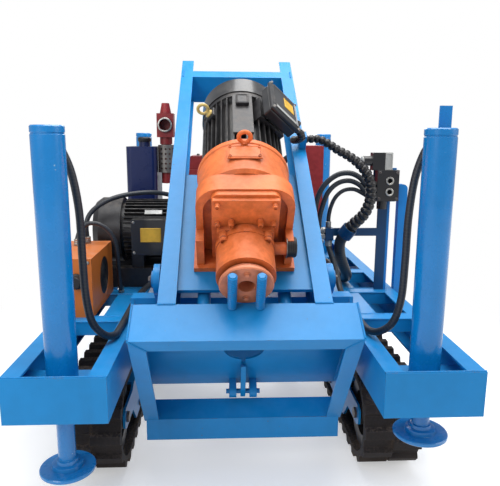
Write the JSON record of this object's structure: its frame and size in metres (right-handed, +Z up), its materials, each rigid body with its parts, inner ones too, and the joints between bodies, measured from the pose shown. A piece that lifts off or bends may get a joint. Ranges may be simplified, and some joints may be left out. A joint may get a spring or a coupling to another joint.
{
  "type": "small crawler drilling rig",
  "caption": "Low drilling rig on rubber tracks: channel platform with corner jacks, tilting channel mast with a geared rotary head, and a power pack behind.",
  "frame": {"origin": "on the floor under the middle of the machine's outline", "axes": "+X to the machine's right, +Y from the mast's foot to the engine, +Z up"},
  "size_m": [1.68, 2.41, 1.7807],
  "materials": {
    "blue_paint": "gloss enamel, scuffed and dusty on top faces",
    "orange_paint": "satin enamel",
    "black_paint": "satin machine paint",
    "red_paint": "satin enamel, greasy",
    "navy_paint": "gloss enamel",
    "bright_steel": "bare, oiled",
    "track_rubber": "dusty moulded rubber",
    "hose_rubber": "smooth hydraulic hose",
    "conduit_plastic": "corrugated conduit"
  },
  "bodies": {
    "platform": {"track_left": "track_rubber", "track_right": "track_rubber", "track_frame_left": "blue_paint", "track_frame_right": "blue_paint", "front_idlers": "bright_steel", "drive_sprockets": "bright_steel", "track_rollers": "bright_steel", "chassis_beams": "blue_paint", "side_frame_left": "blue_paint", "side_frame_right": "blue_paint", "platform_beams": "blue_paint", "mast_stand": "blue_paint", "jack_tube_front_left": "blue_paint", "jack_tube_front_right": "blue_paint", "jack_tube_rear_left": "blue_paint", "jack_tube_rear_right": "blue_paint", "engine_block": "red_paint", "engine_head": "red_paint", "radiator": "red_paint", "exhaust": "red_paint", "exhaust_shield": "bright_steel", "oil_tank": "navy_paint", "pump_motor": "black_paint", "pump_motor_box": "black_paint", "hydraulic_pump": "bright_steel", "control_box": "orange_paint", "valve_posts": "blue_paint", "valve_block": "black_paint", "hose_loops": "hose_rubber", "deck_hoses": "hose_rubber"},
    "mast": {"mast_rails": "blue_paint", "foot_frame": "blue_paint", "guide_pegs": "blue_paint", "foot_lever": "blue_paint", "feed_cylinders": "blue_paint", "conduit_mast": "conduit_plastic"},
    "carriage": {"carriage_plate": "blue_paint", "feed_rods": "bright_steel", "gear_housing": "orange_paint", "bell_housing": "orange_paint", "head_motor": "black_paint", "head_fan_cover": "black_paint", "head_terminal_box": "black_paint", "conduit_head": "conduit_plastic"},
    "spindle": {"spindle_adapter": "orange_paint"},
    "tilt_cylinder_barrel": {"tilt_barrel": "blue_paint"},
    "tilt_cylinder_rod": {"tilt_rod": "bright_steel"},
    "jack_front_left": {"jack_leg_front_left": "blue_paint"},
    "jack_front_right": {"jack_leg_front_right": "blue_paint"},
    "jack_rear_left": {"jack_leg_rear_left": "blue_paint"},
    "jack_rear_right": {"jack_leg_rear_right": "blue_paint"}
  },
  "joints": [
    {"name": "mast_tilt", "type": "hinge", "parent": "platform", "child": "mast", "pos_m": [0, -0.805, 0.8], "axis": [1, 0, 0], "range_deg": [0, 55], "deforming": ["conduit_mast"]},
    {"name": "head_feed", "type": "slide", "parent": "mast", "child": "carriage", "axis": [0, 0.8192, 0.5736], "range_m": [0, 0.55], "deforming": ["conduit_head"]},
    {"name": "spindle_spin", "type": "hinge", "parent": "carriage", "child": "spindle", "pos_m": [0, -1.02653, 0.85486], "axis": [0, 0.8192, 0.5736], "continuous": true},
    {"name": "tilt_cylinder_swing", "type": "hinge", "parent": "platform", "child": "tilt_cylinder_barrel", "pos_m": [0, -0.11, 0.545], "axis": [1, 0, 0], "range_deg": [-5.5, 0.5]},
    {"name": "tilt_cylinder_slide", "type": "slide", "parent": "tilt_cylinder_barrel", "child": "tilt_cylinder_rod", "axis": [0, -0.8108, 0.5853], "range_m": [-0.005, 0.255]},
    {"name": "jack_front_left_slide", "type": "slide", "parent": "platform", "child": "jack_front_left", "axis": [0, 0, -1], "range_m": [-0.11, 0.32]},
    {"name": "jack_front_right_slide", "type": "slide", "parent": "platform", "child": "jack_front_right", "axis": [0, 0, -1], "range_m": [0, 0.43]},
    {"name": "jack_rear_left_slide", "type": "slide", "parent": "platform", "child": "jack_rear_left", "axis": [0, 0, -1], "range_m": [0, 0.43]},
    {"name": "jack_rear_right_slide", "type": "slide", "parent": "platform", "child": "jack_rear_right", "axis": [0, 0, -1], "range_m": [0, 0.43]}
  ],
  "couplings": [
    {"joint": "tilt_cylinder_swing", "follows": "mast_tilt", "ratio": -0.090567},
    {"joint": "tilt_cylinder_slide", "follows": "mast_tilt", "m_per_rad": 0.25633}
  ]
}
